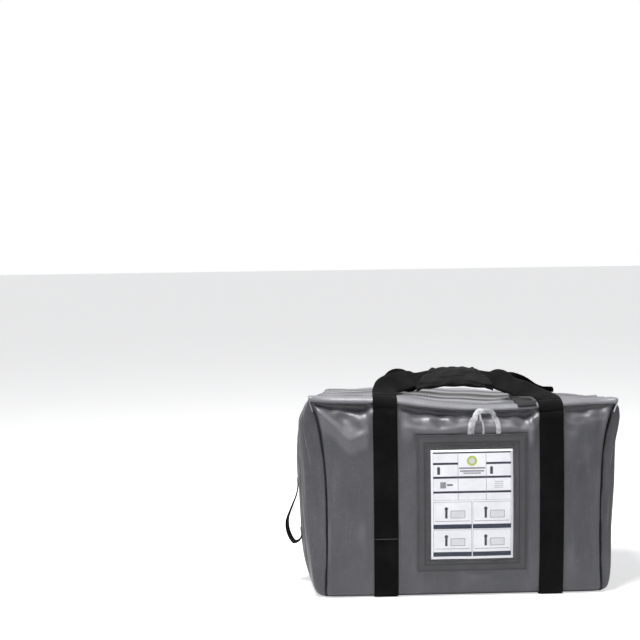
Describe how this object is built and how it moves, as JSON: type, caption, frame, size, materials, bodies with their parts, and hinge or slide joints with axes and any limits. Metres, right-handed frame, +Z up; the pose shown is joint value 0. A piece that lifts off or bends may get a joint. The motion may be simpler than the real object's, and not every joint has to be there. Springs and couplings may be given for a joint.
{
  "type": "liferaft valise",
  "caption": "Packed soft valise of coated fabric with a closing flap, webbing runs rising to a wrapped carrying grip, a windowed label pocket, a clear tie loop and an end loop.",
  "frame": {"origin": "middle of the flat base", "axes": "+Z up, +X along the length to the right of the label side, +Y to the back, so the label faces -Y"},
  "size_m": [0.719, 0.2873, 0.4698],
  "materials": {
    "coated_fabric": "grey woven fabric with a satin polymer coating, creased and folded",
    "webbing": "black woven polyester webbing, matt",
    "grip_fabric": "black cloth wrapped round the handles, with lengthwise folds",
    "pocket_fabric": "dark grey satin coated cloth with a line of stitching",
    "seam_binding": "narrow dark grey binding tape",
    "card": "white printed card with plain dark bars, boxes and simple shapes",
    "clear_film": "clear flexible vinyl, slightly cloudy at its folds"
  },
  "bodies": {
    "root": {"valise_body": "coated_fabric", "top_flap": "coated_fabric", "webbing_left": "webbing", "webbing_right": "webbing", "handle_front": "webbing", "handle_rear": "webbing", "handle_grip": "grip_fabric", "closing_tab": "webbing", "pocket_panel": "pocket_fabric", "pocket_border": "pocket_fabric", "label_card": "card", "pocket_window": "clear_film", "tie_loop": "clear_film", "seam_front_left": "seam_binding", "seam_front_right": "seam_binding", "seam_rear_left": "seam_binding", "seam_rear_right": "seam_binding", "end_loop": "webbing"}
  },
  "joints": []
}
